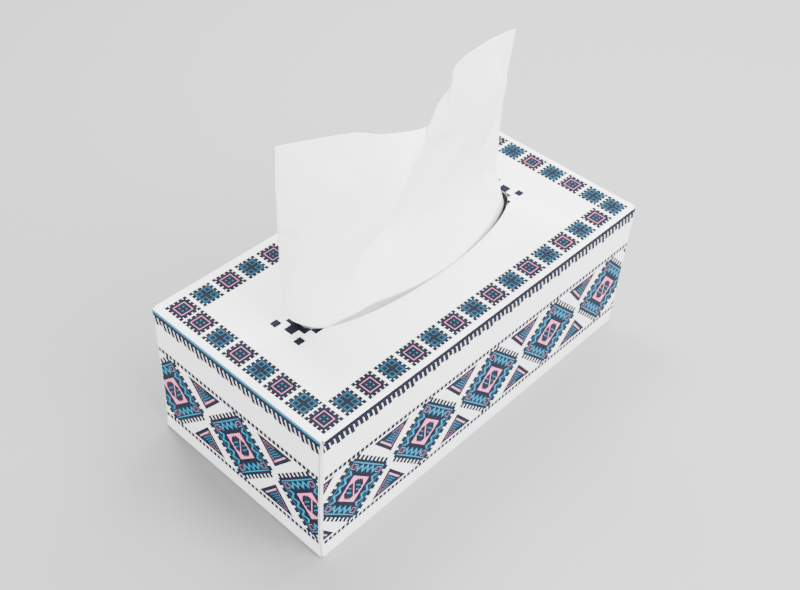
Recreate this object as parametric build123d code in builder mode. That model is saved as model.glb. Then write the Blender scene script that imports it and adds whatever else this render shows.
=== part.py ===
"""A flat facial-tissue carton with its interfolded stack, the next sheet and the sheet that stands ready.

The origin is at the middle of the bottom face. X runs along the carton, Y across it, Z is up.
The viewer's side, where the raised sheet leans on the slot's rim, is -Y.
"""
from math import sqrt
import os

from build123d import *

os.makedirs("parts", exist_ok=True)

# Carton, in mm
carton_length = 230.0
carton_width = 114.0
carton_height = 83.0
board = 0.45
fold_radius = 0.75  # outside radius of every fold in the board
slot_length = 146.0
slot_width = 40.0

# Flaps of the blank
glue_seam = 15.0  # width of the seam flap inside the bottom panel
cut_setback = 0.4  # how far a free edge stays back from the start of a fold beside it
dust_flap_reach = 50.0
dust_flap_taper = 9.0
inner_flap_reach = 52.0
inner_flap_taper = 7.0
inner_flap_inset = 1.5
end_flap_bow = 2.2  # how far the end flap's side edges draw in from the carton's corner
end_flap_corner = 12.0  # height of the slanted corner of those edges
flap_round = 5.0

# Sheets and stack
stack_end_gap = 12.0  # from the stack to the carton's outer faces
stack_side_gap = 6.6
head_room = 18.1  # from the stack's top to the top panel's upper face
stack_round = 3.0
sheet_inset = 3.0  # how much shorter a loose sheet is than the stack, at each end
sheet_thickness = 0.4
sheet_gap = 0.3  # between sheets that lie on each other
trailing_margin = 4.0  # the tucked edge of the raised sheet stays this far inside the next one's fold
sheet_rise = 109.0  # highest corner of the raised sheet above the top panel
next_lap = 2.0  # length of the next sheet's upper leaf that is flat at its fold
tuck_bend = 20.0  # how far behind the rim the raised sheet has come down to lie flat
curve_steps = 3  # points of a smooth curve for each pair of given ones
surface_tolerance = 0.05

slot_half_length = slot_length / 2
slot_half_width = slot_width / 2
inner_radius = fold_radius - board
stack_length = carton_length - 2 * stack_end_gap
stack_width = carton_width - 2 * stack_side_gap
sheet_width = stack_length - 2 * sheet_inset

end_flap_face = -carton_length / 2
inner_flap_face = end_flap_face + board
dust_flap_face = inner_flap_face + board
top_panel_end = end_flap_face + fold_radius
bottom_panel_end = inner_flap_face + fold_radius
side_panel_end = dust_flap_face + fold_radius
flat_half_width = carton_width / 2 - fold_radius


def bent_section(turn):
    """The section of board bent through a right angle about the origin, from the angle turn on."""
    with BuildSketch() as section:
        with BuildLine():
            outer = CenterArc((0, 0), fold_radius, turn, 90)
            inner = CenterArc((0, 0), inner_radius, turn, 90)
            Line(outer @ 0, inner @ 0)
            Line(outer @ 1, inner @ 1)
        make_face()
    return section.sketch


# Carton: one board blank, folded into a tube with a glued seam and glued ends
with BuildPart() as carton:
    # The tube, wrapped from the bottom panel's free edge round to the back panel's lower fold
    with BuildSketch(Plane.YZ):
        with BuildLine():
            FilletPolyline(
                (flat_half_width - cut_setback, 0),
                (-carton_width / 2, 0),
                (-carton_width / 2, carton_height),
                (carton_width / 2, carton_height),
                (carton_width / 2, board + fold_radius),
                radius=fold_radius,
            )
            offset(amount=board, side=Side.LEFT)
        make_face()
        with Locations((flat_half_width, board + fold_radius)):
            add(bent_section(270))
        with Locations((flat_half_width - glue_seam / 2, board * 1.5)):
            Rectangle(glue_seam, board)
    extrude(amount=-side_panel_end, both=True)

    # Top and bottom panels run on past the side panels to their own folds
    for level, end in ((carton_height - board / 2, top_panel_end), (board / 2, bottom_panel_end)):
        with Locations((0, 0, level)):
            Box(-2 * end, 2 * flat_half_width - 2 * cut_setback, board)

    # End flap: hinged on the top panel, full height, its side edges drawn in
    with BuildSketch(Plane.XZ):
        with Locations((top_panel_end, carton_height - fold_radius)):
            add(bent_section(90))
    extrude(amount=flat_half_width, both=True)
    with BuildSketch(Plane.YZ.offset(end_flap_face)):
        with BuildLine():
            flap_top = carton_height - fold_radius
            flap_foot = fold_radius + cut_setback
            drawn_in = carton_width / 2 - end_flap_bow
            edge = FilletPolyline(
                (flat_half_width, flap_top),
                (drawn_in, flap_top - end_flap_corner),
                (drawn_in, flap_foot + end_flap_corner),
                (flat_half_width, flap_foot),
                radius=flap_round,
            )
            mirror(edge, about=Plane.YZ)
            Line(edge @ 0, (-flat_half_width, flap_top))
            Line(edge @ 1, (-flat_half_width, flap_foot))
        make_face()
    extrude(amount=board)

    # Inner flap: hinged on the bottom panel, behind the end flap
    inner_half = flat_half_width - inner_flap_inset
    with BuildSketch(Plane.XZ):
        with Locations((bottom_panel_end, fold_radius)):
            add(bent_section(180))
    extrude(amount=inner_half, both=True)
    with BuildSketch(Plane.YZ.offset(inner_flap_face)):
        with BuildLine():
            rim = FilletPolyline(
                (-inner_half, fold_radius),
                (-inner_half + inner_flap_taper, inner_flap_reach),
                (inner_half - inner_flap_taper, inner_flap_reach),
                (inner_half, fold_radius),
                radius=flap_round,
            )
            Line(rim @ 0, rim @ 1)
        make_face()
    extrude(amount=board)

    # Dust flaps: hinged on the side panels, innermost
    dust_foot = fold_radius + cut_setback
    dust_top = carton_height - fold_radius - cut_setback
    dust_middle = carton_height / 2
    for side, turn in ((1, 90), (-1, 180)):
        with BuildSketch(Plane.XY.offset(dust_middle)):
            with Locations((side_panel_end, side * flat_half_width)):
                add(bent_section(turn))
        extrude(amount=dust_top - dust_middle, both=True)
        with BuildSketch(Plane.YZ.offset(dust_flap_face)):
            with BuildLine():
                rim = FilletPolyline(
                    (side * flat_half_width, dust_foot),
                    (side * (carton_width / 2 - dust_flap_reach), dust_foot + dust_flap_taper),
                    (side * (carton_width / 2 - dust_flap_reach), dust_top - dust_flap_taper),
                    (side * flat_half_width, dust_top),
                    radius=flap_round,
                )
                Line(rim @ 0, rim @ 1)
            make_face()
        extrude(amount=board)

    # The other end is the same
    mirror(about=Plane.YZ)

    # The slot that the sheets come out of
    with BuildSketch(Plane.XY.offset(carton_height)):
        Ellipse(slot_half_length, slot_half_width)
    extrude(amount=-2 * board, mode=Mode.SUBTRACT)

carton.part.label = "carton"
export_step(carton.part, "parts/carton.step")

# Stack: folded sheets lying on the seam flap, their folds rounding the two long sides
stack_foot = 2 * board
stack_top = carton_height - head_room
with BuildPart() as tissue_stack:
    with BuildSketch(Plane.YZ):
        with Locations((0, (stack_foot + stack_top) / 2)):
            RectangleRounded(stack_width, stack_top - stack_foot, stack_round)
    extrude(amount=stack_length / 2, both=True)

tissue_stack.part.label = "tissue_stack"
export_step(tissue_stack.part, "parts/tissue_stack.step")

# The raised sheet's tucked half lies between the two leaves of the next sheet
leaf_step = sheet_thickness + sheet_gap
tucked_leaf = stack_top + sheet_thickness / 2 + leaf_step
tuck_drop = carton_height - tucked_leaf
trailing_edge = stack_width / 2 - trailing_margin


def rim_point(share, clear, side=-1):
    """A point on the top panel's level inside the slot: share of its half length along, clear of its rim."""
    return share, side * (sqrt(1 - share**2) - clear / slot_half_width), 0.0


# The raised sheet's creases, from its left edge to its right edge. Each goes up from the slot's rim
# through three heights to the leading edge: share of the slot's half length, share of its half
# width, share of the sheet's rise.
creases = {
    "left edge": (
        rim_point(-0.93, 1.6, side=1), (-1.034, 0.45, 0.156), (-1.055, 0.5, 0.431), (-1.055, 0.5, 0.679),
        (-1.055, 0.5, 0.89),
    ),
    "left turn": (
        (-0.965, 0.0, 0.0), (-0.979, -0.025, 0.138), (-0.932, 0.25, 0.431), (-0.904, 0.275, 0.679),
        (-0.863, 0.25, 0.89),
    ),
    "left face": (
        rim_point(-0.863, 1.2), (-0.877, -0.45, 0.147), (-0.781, -0.15, 0.431), (-0.658, -0.1, 0.67),
        (-0.589, -0.1, 0.872),
    ),
    "dip": (
        rim_point(-0.781, 1.8), (-0.795, -0.6, 0.165), (-0.644, -0.4, 0.431), (-0.425, -0.325, 0.651),
        (-0.377, -0.375, 0.817),
    ),
    "ridge": (
        rim_point(-0.685, 2.2), (-0.699, -0.7, 0.211), (-0.507, -0.6, 0.44), (-0.233, -0.475, 0.624),
        (-0.041, -0.375, 0.761),
    ),
    "ridge wall": (
        rim_point(-0.548, 2.5), (-0.548, -0.65, 0.183), (-0.37, -0.3, 0.413), (-0.123, -0.2, 0.606),
        (0.123, -0.175, 0.771),
    ),
    "valley": (
        rim_point(-0.356, 1.8), (-0.329, -0.75, 0.156), (-0.164, -0.225, 0.349), (0.041, -0.05, 0.55),
        (0.384, 0.3, 0.78),
    ),
    "fold": (
        rim_point(-0.11, 1.0), (-0.082, -0.8, 0.156), (0.055, -0.325, 0.339), (0.11, -0.3, 0.67),
        (0.192, -0.3, 0.945),
    ),
    "right face": (
        rim_point(0.164, 1.0), (0.192, -0.725, 0.165), (0.301, -0.3, 0.376), (0.356, -0.4, 0.688),
        (0.356, -0.4, 1.0),
    ),
    "crease": (
        rim_point(0.466, 2.2), (0.479, -0.575, 0.183), (0.562, -0.3, 0.413), (0.616, -0.3, 0.688),
        (0.685, -0.25, 0.972),
    ),
    "right strip": (
        rim_point(0.726, 3.8), (0.726, -0.375, 0.183), (0.74, -0.15, 0.431), (0.767, -0.125, 0.679),
        (0.795, -0.1, 0.945),
    ),
    "right turn": (
        (0.965, -0.05, 0.0), (0.904, -0.025, 0.202), (0.87, 0.0, 0.44), (0.877, 0.0, 0.679),
        (0.89, 0.0, 0.917),
    ),
    "right edge": (
        rim_point(0.93, 1.6, side=1), (0.966, 0.2, 0.147), (0.904, 0.1, 0.44), (0.904, 0.075, 0.679),
        (0.911, 0.05, 0.908),
    ),
}


def tucked_points(spread, rim_x, rim_y):
    """A crease inside the carton, from the tucked edge up to just under the panel; spread is its flat place."""
    run = trailing_edge - rim_y - tuck_bend
    return [
        (spread, trailing_edge, tucked_leaf),
        (spread, trailing_edge - 0.5 * run, tucked_leaf),
        (rim_x + 0.75 * (spread - rim_x), rim_y + tuck_bend, tucked_leaf),
        (rim_x + 0.45 * (spread - rim_x), rim_y + 0.4 * tuck_bend, tucked_leaf + 0.12 * tuck_drop),
        (rim_x + 0.15 * (spread - rim_x), rim_y + 0.1 * tuck_bend, carton_height - 0.4 * tuck_drop),
    ]


def smooth(points):
    """Points on the curve that passes through the given ones and runs at each one as its neighbours lie."""
    ends = [2 * points[0] - points[1], *points, 2 * points[-1] - points[-2]]
    curve = []
    for before, start, end, after in zip(ends, ends[1:], ends[2:], ends[3:]):
        for step in range(curve_steps):
            t = step / curve_steps
            bent = 2 * before - 5 * start + 4 * end - after
            twisted = 3 * start - before - 3 * end + after
            curve.append((2 * start + t * (end - before) + t**2 * bent + t**3 * twisted) / 2)
    return curve + [points[-1]]


def moved(rows, lift):
    """The rows of points, each point moved by lift along the sheet's own normal there."""
    last_row = len(rows) - 1
    last = len(rows[0]) - 1
    lifted = []
    for i, row in enumerate(rows):
        lifted.append([])
        for j, point in enumerate(row):
            along = row[min(j + 1, last)] - row[max(j - 1, 0)]
            across = rows[min(i + 1, last_row)][j] - rows[max(i - 1, 0)][j]
            lifted[i].append(point + along.cross(across).normalized() * lift)
    return lifted


def sheet_solid(rows):
    """A sheet whose middle runs through rows of points: two smooth faces, closed along their edges."""
    faces = [
        Face.make_surface_from_array_of_points(moved(rows, lift), tol=surface_tolerance)
        for lift in (sheet_thickness / 2, -sheet_thickness / 2)
    ]
    edges = [Face.make_surface_from_curves(*pair) for pair in zip(faces[0].edges(), faces[1].edges())]
    return Solid(Shell(faces + edges))


# Raised sheet: each crease runs from the tucked edge up through the slot to the leading edge
lines = []
for number, steps in enumerate(creases.values()):
    above = [
        (along * slot_half_length, across * slot_half_width, carton_height + rise * sheet_rise)
        for along, across, rise in steps
    ]
    flat_place = (number / (len(creases) - 1) - 0.5) * sheet_width
    lines.append([Vector(*point) for point in tucked_points(flat_place, *above[0][:2]) + above])
rows = [smooth(row) for row in zip(*[smooth(line) for line in lines])]

with BuildPart() as raised_tissue:
    add(sheet_solid(rows))

raised_tissue.part.label = "raised_tissue"
export_step(raised_tissue.part, "parts/raised_tissue.step")

# Next sheet: one leaf on the stack, its fold round the tucked edge, the other leaf over the tucked
# half and up behind the raised sheet as far as the last crease point below the panel
with BuildPart() as next_tissue:
    with BuildSketch(Plane.YZ):
        with BuildLine():
            fold_place = trailing_edge + trailing_margin / 2
            Line((-stack_width / 2 + stack_round, stack_top), (fold_place, stack_top))
            bend = CenterArc((fold_place, tucked_leaf), tucked_leaf - stack_top, -90, 180)
            Line(bend @ 1, (trailing_edge - next_lap, (bend @ 1).Y))
            offset(amount=sheet_thickness, side=Side.LEFT)
        make_face()
    extrude(amount=sheet_width / 2, both=True)
    add(sheet_solid(moved(rows, -leaf_step)[: 4 * curve_steps + 1]))

next_tissue.part.label = "next_tissue"
export_step(next_tissue.part, "parts/next_tissue.step")
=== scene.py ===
"""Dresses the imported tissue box: printed board, soft sheets, a pale floor, soft light and the camera.

Everything is in the carton's own frame, X along the carton, Y across it and Z up. The print and the
sheets are laid out in millimetres and the rest in metres. Materials read Object coordinates.
"""
import logging
import math
from dataclasses import dataclass, replace
from enum import Enum
from functools import reduce
from operator import add, or_
from typing import Union

import bpy
import numpy as np
from bpy.types import Material, Node, NodeSocket, NodeTree, Object
from mathutils import Matrix, Vector


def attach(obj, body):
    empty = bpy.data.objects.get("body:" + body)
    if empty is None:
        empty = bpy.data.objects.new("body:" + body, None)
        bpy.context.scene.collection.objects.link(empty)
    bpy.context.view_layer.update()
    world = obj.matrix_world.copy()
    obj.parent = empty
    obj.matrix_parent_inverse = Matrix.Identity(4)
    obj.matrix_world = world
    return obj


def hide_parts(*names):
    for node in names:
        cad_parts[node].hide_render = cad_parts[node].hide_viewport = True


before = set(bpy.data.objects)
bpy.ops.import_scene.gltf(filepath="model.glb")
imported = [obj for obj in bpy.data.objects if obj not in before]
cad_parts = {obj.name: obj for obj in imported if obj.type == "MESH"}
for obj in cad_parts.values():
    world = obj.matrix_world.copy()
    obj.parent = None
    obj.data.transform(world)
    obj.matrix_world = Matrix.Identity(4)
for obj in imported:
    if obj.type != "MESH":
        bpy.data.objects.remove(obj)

log = logging.getLogger("tissue_box")

Number = Union[float, "Formula"]
Colour = tuple[float, float, float, float]
Place = tuple[float, float, float]
MM = 0.001
# The least length that a vector is divided by.
TINY = 1e-12
# Places of a Mix node's share and two colours among its inputs, and of its colour among its outputs.
MIX_INPUTS = (0, 6, 7)
MIX_OUTPUT = 2


def linear(red: int, green: int, blue: int) -> Colour:
    """Turns a display colour into the linear colour that a shader takes, by the sRGB curve.

    Args:
        red: display value, 0 to 255.
        green: display value, 0 to 255.
        blue: display value, 0 to 255.

    Returns:
        Linear red, green and blue, and an alpha of 1.
    """
    shares = np.array([red, green, blue]) / 255
    light = np.where(shares <= 0.04045, shares / 12.92, ((shares + 0.055) / 1.055) ** 2.4)
    return (*[float(value) for value in light], 1.0)


class Ink(Enum):
    """The printer's colours, and the coated board they are printed on. The top panel's dark, blue and pink
    are darker copies of the sides' inks: painted shade against the brighter light on the top.
    """

    BOARD = linear(243, 244, 246)
    DARK = linear(17, 20, 36)
    # Painted shade: the dark ink's copy for the top panel, darker to offset the brighter light on the top.
    SHADED_DARK_ON_TOP = linear(12, 16, 28)
    BLUE = linear(6, 120, 156)
    TEAL = linear(10, 34, 50)
    PINK = linear(224, 128, 166)
    # Painted shade: the blue ink's copy for the top panel, darker to offset the brighter light on the top.
    SHADED_BLUE_ON_TOP = linear(4, 84, 112)
    # Painted shade: the pink ink's copy for the top panel, darker to offset the brighter light on the top.
    SHADED_PINK_ON_TOP = linear(190, 102, 144)


class Kind(Enum):
    """What an input or output of a node group holds."""

    NUMBER = "NodeSocketFloat"
    COLOUR = "NodeSocketColor"
    PLACE = "NodeSocketVector"


# Sizes from the frame


def packed_points(node: str) -> np.ndarray:
    """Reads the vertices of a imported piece.

    Args:
        node: the piece's node.

    Returns:
        One row of x, y, z each, in metres.
    """
    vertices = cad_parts[node].data.vertices
    points = np.empty(len(vertices) * 3)
    vertices.foreach_get("co", points)
    return points.reshape(-1, 3)


def packed_box(node: str) -> list[list[float]]:
    """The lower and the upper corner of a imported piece's box, in mm to a hundredth."""
    points = packed_points(node)
    return np.round(np.stack([points.min(axis=0), points.max(axis=0)]) / MM, 2).tolist()


CARTON_LENGTH, CARTON_WIDTH, CARTON_HEIGHT = np.ptp(packed_box("carton"), axis=0).tolist()
(_, _, STACK_FOOT), (STACK_HALF_LENGTH, STACK_HALF_WIDTH, STACK_TOP) = packed_box("tissue_stack")


# Shader nodes


def feed(tree: NodeTree, source: object, slot: NodeSocket) -> None:
    """Feeds an input from a formula or an output, or sets it to a value.

    Args:
        tree: the tree that the input's node is in.
        source: the formula, output or value.
        slot: the input.
    """
    if isinstance(source, Formula):
        source = source.socket
    if isinstance(source, NodeSocket):
        tree.links.new(source, slot)
    else:
        slot.default_value = source


def mixed(tree: NodeTree, share: object, first: object, second: object) -> NodeSocket:
    """Mixes two colours by a share that varies over the surface.

    Args:
        tree: the tree that gets the Mix node.
        share: the second colour's share, a formula or an output.
        first: a colour, or an output that holds one.
        second: a colour, or an output that holds one.

    Returns:
        The output that holds the mixed colour.
    """
    mix = tree.nodes.new("ShaderNodeMix")
    mix.data_type = "RGBA"
    for place, source in zip(MIX_INPUTS, (share, first, second)):
        feed(tree, source, mix.inputs[place])
    return mix.outputs[MIX_OUTPUT]


def embossed(tree: NodeTree, height: NodeSocket, strength: float, depth: float) -> NodeSocket:
    """Turns a height that varies over the surface into a bent normal.

    Args:
        tree: the tree that gets the Bump node.
        height: the output that holds the height.
        strength: how much of the bend is used.
        depth: what a height of 1 stands for, in metres.

    Returns:
        The output that holds the normal.
    """
    bump = tree.nodes.new("ShaderNodeBump")
    for name, source in {"Strength": strength, "Distance": depth, "Height": height}.items():
        feed(tree, source, bump.inputs[name])
    return bump.outputs["Normal"]


class Formula:
    """A number that varies over a surface, worked out by Math nodes in a shader's tree."""

    def __init__(self, tree: NodeTree, socket: NodeSocket) -> None:
        """Wraps the output that holds the number, in the tree that further nodes join."""
        self.tree = tree
        self.socket = socket

    def apply(self, operation: str, *others: Number) -> "Formula":
        """Adds one Math node fed by this number and the others.

        Args:
            operation: the Math node's operation.
            others: its second and third values.

        Returns:
            The node's result.
        """
        node = self.tree.nodes.new("ShaderNodeMath")
        node.operation = operation
        for slot, source in zip(node.inputs, (self, *others)):
            feed(self.tree, source, slot)
        return Formula(self.tree, node.outputs[0])

    def __add__(self, other: Number) -> "Formula":
        """The sum of two numbers."""
        return self.apply("ADD", other)

    def __sub__(self, other: Number) -> "Formula":
        """The difference of two numbers."""
        return self.apply("SUBTRACT", other)

    def __mul__(self, other: Number) -> "Formula":
        """The product of two numbers; of two masks, where both hold."""
        return self.apply("MULTIPLY", other)

    def __or__(self, other: "Formula") -> "Formula":
        """Where either of two masks holds."""
        return self.apply("MAXIMUM", other)

    def minus_from(self, other: float) -> "Formula":
        """The given value less this number; from 1, it turns a mask round."""
        return (self * -1.0) + other

    def size(self) -> "Formula":
        """This number without its sign."""
        return self.apply("ABSOLUTE")

    def least(self, other: Number) -> "Formula":
        """The smaller of two numbers."""
        return self.apply("MINIMUM", other)

    def most(self, other: Number) -> "Formula":
        """The larger of two numbers."""
        return self.apply("MAXIMUM", other)

    def below(self, other: Number) -> "Formula":
        """A mask, 1 where this number is below the other."""
        return self.apply("LESS_THAN", other)

    def above(self, other: Number) -> "Formula":
        """A mask, 1 where this number is above the other."""
        return self.apply("GREATER_THAN", other)

    def near(self, place: Number, reach: float) -> "Formula":
        """A mask, 1 where this number is within reach of a place."""
        return self.apply("COMPARE", place, reach)

    def repeated(self, pitch: float) -> "Formula":
        """Distance to the nearest whole multiple of the pitch, with its sign."""
        return self.apply("WRAP", pitch / 2, -pitch / 2)

    def zigzag(self, pitch: float) -> "Formula":
        """Rises from 0 to half the pitch and falls again, once in each pitch."""
        return self.apply("PINGPONG", pitch / 2)

    def whole(self) -> "Formula":
        """The nearest whole number."""
        return self.apply("ROUND")

    def swapped(self, other: Number, mask: "Formula") -> "Formula":
        """This number, or the other one where the mask is 1."""
        back = other * -1.0 if isinstance(other, Formula) else -other
        return self - mask * (self + back)


class Canvas:
    """A colour that is painted over, one ink and mask at a time."""

    def __init__(self, tree: NodeTree, ground: NodeSocket) -> None:
        """Starts from the output that holds the ground colour, in the tree that Mix nodes join."""
        self.tree = tree
        self.colour = ground

    def paint(self, mask: Formula, ink: Union[Ink, NodeSocket]) -> None:
        """Lays an ink, or the colour that an output holds, over the colour where the mask is 1."""
        self.colour = mixed(self.tree, mask, self.colour, ink.value if isinstance(ink, Ink) else ink)


class Group:
    """A shader node group with named inputs and outputs."""

    def __init__(self, name: str, inputs: dict[Kind, tuple[str, ...]]) -> None:
        """Makes the group and its input sockets.

        Args:
            name: the group's name.
            inputs: the names of its inputs, by what they hold.
        """
        self.tree = bpy.data.node_groups.new(name, "ShaderNodeTree")
        for kind, labels in inputs.items():
            for label in labels:
                self.tree.interface.new_socket(label, in_out="INPUT", socket_type=kind.value)
        self.inlet = self.tree.nodes.new("NodeGroupInput")
        self.outlet = self.tree.nodes.new("NodeGroupOutput")

    def number(self, name: str) -> Formula:
        """The named input's number, as a formula."""
        return Formula(self.tree, self.inlet.outputs[name])

    def socket(self, name: str) -> NodeSocket:
        """The output, inside the group, that holds what the named input gets."""
        return self.inlet.outputs[name]

    def give(self, name: str, source: NodeSocket, kind: Kind) -> None:
        """Adds an output of that name and kind, which gives what the source holds."""
        self.tree.interface.new_socket(name, in_out="OUTPUT", socket_type=kind.value)
        self.tree.links.new(source, self.outlet.inputs[name])

    def place(self, tree: NodeTree, feeds: dict[str, object]) -> Node:
        """Puts the group into another tree.

        Args:
            tree: the tree that gets the group.
            feeds: for each input's name, a formula, an output or a value.

        Returns:
            The group node.
        """
        node = tree.nodes.new("ShaderNodeGroup")
        node.node_tree = self.tree
        for name, source in feeds.items():
            feed(tree, source, node.inputs[name])
        return node


# The print


@dataclass(frozen=True)
class TilePrint:
    """A square of cross stitches in one of two kinds; sizes in mm."""

    half: float = 6.15
    tooth_pitch: float = 2.6
    tooth_half: float = 1.08
    body_half: float = 4.85
    frame_reach: float = 3.2
    frame_half: float = 0.17
    dot_place: float = 1.1
    dot_half: float = 0.42
    box_place: float = 2.35
    box_reach: float = 1.2
    box_half: float = 0.13
    line_reach: float = 4.05
    line_half: float = 0.13

    def group(self) -> Group:
        """Builds the tile as a group on its own centred coordinates.

        The stitched outline is a square with five teeth on each side, the outer two at its corners.

        Returns:
            The group: Across and Down in mm, Second kind (0 or 1) and Ground in, Colour out.
        """
        inputs = {Kind.NUMBER: ("Across", "Down", "Second kind"), Kind.COLOUR: ("Ground",)}
        made = Group("stitched tile", inputs)
        across, down = made.number("Across").size(), made.number("Down").size()
        second = made.number("Second kind")
        far, near = across.most(down), across.least(down)
        tooth = near.repeated(self.tooth_pitch).size().below(self.tooth_half)
        body = far.below(self.body_half) | (far.below(self.half) * tooth)
        canvas = Canvas(made.tree, made.socket("Ground"))
        # The tile's inks are the top panel's copies, painted darker as shade against the brighter light on
        # the top.
        canvas.paint(body, Ink.SHADED_DARK_ON_TOP)
        first = second.minus_from(1.0)
        canvas.paint(far.near(self.frame_reach, self.frame_half) * first, Ink.SHADED_PINK_ON_TOP)
        dot = across.near(self.dot_place, self.dot_half) * down.near(self.dot_place, self.dot_half)
        canvas.paint(dot * first, Ink.SHADED_BLUE_ON_TOP)
        ring = (across - self.box_place).size().most((down - self.box_place).size())
        lines = ring.near(self.box_reach, self.box_half) | far.near(self.line_reach, self.line_half)
        canvas.paint(lines * second, Ink.SHADED_BLUE_ON_TOP)
        made.give("Colour", canvas.colour, Kind.COLOUR)
        return made


@dataclass(frozen=True)
class TopPrint:
    """The top panel's border of tiles and the medallion that the slot cuts; sizes in mm.

    Right is the distance from the panel's left edge and down the distance from its far edge. The last
    values are the last tile's number in a row and a column, from 0. Each of the medallion's squares
    has its middle out and aside, and its half length and half width.
    """

    column_middle: float = 115.25
    column_offset: float = 105.05
    row_middle: float = 57.68
    row_offset: float = 46.92
    row_start: float = 10.3
    row_pitch: float = 14.0
    row_last: float = 15.0
    column_start: float = 23.5
    column_pitch: float = 13.76
    column_last: float = 5.0
    row_zone: float = 6.8
    medallion_right: float = 113.75
    medallion_down: float = 55.65
    squares: tuple[tuple[float, float, float, float], ...] = (
        (79.35, 7.95, 2.25, 1.95),
        (75.55, 0.0, 3.8, 2.65),
        (72.45, 4.4, 2.35, 1.95),
        (67.85, 8.05, 2.9, 1.8),
    )
    heart_right: float = 71.75
    heart_down: float = 3.9

    def group(self, tile: Group) -> Group:
        """Builds the top panel's print.

        Along a row or column the nearest tile's number is the rounded distance over the pitch, kept
        within the row, and the distance from that tile's centre goes to the tile group.

        Args:
            tile: the stitched tile's group.

        Returns:
            The group: Right, Down and Ground in, Colour out.
        """
        made = Group("top panel print", {Kind.NUMBER: ("Right", "Down"), Kind.COLOUR: ("Ground",)})
        right, down = made.number("Right"), made.number("Down")
        column_across = (right - self.column_middle).size() - self.column_offset
        row_down = (down - self.row_middle).size() - self.row_offset
        in_row = row_down.above(-self.row_zone)
        places = []
        for distance, start, pitch, last in (
            (right, self.row_start, self.row_pitch, self.row_last),
            (down, self.column_start, self.column_pitch, self.column_last),
        ):
            number = ((distance - start) * (1 / pitch)).whole().most(0.0).least(last)
            places.append((number, distance - start - number * pitch))
        (row_number, row_across), (column_number, column_down) = places
        stitched = tile.place(made.tree, {
            "Across": column_across.swapped(row_across, in_row),
            "Down": column_down.swapped(row_down, in_row),
            "Second kind": column_number.swapped(row_number, in_row).apply("FLOORED_MODULO", 2.0),
            "Ground": made.socket("Ground"),
        })
        canvas = Canvas(made.tree, stitched.outputs["Colour"])
        out = (right - self.medallion_right).size()
        aside = (down - self.medallion_down).size()
        for place_out, place_aside, half_out, half_aside in self.squares:
            # The medallion's squares use the top panel's dark copy, painted darker as shade against the
            # brighter light on the top.
            canvas.paint(out.near(place_out, half_out) * aside.near(place_aside, half_aside), Ink.SHADED_DARK_ON_TOP)
        canvas.paint(out.below(self.heart_right) * aside.below(self.heart_down), Ink.BLUE)
        made.give("Colour", canvas.colour, Kind.COLOUR)
        return made


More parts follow.
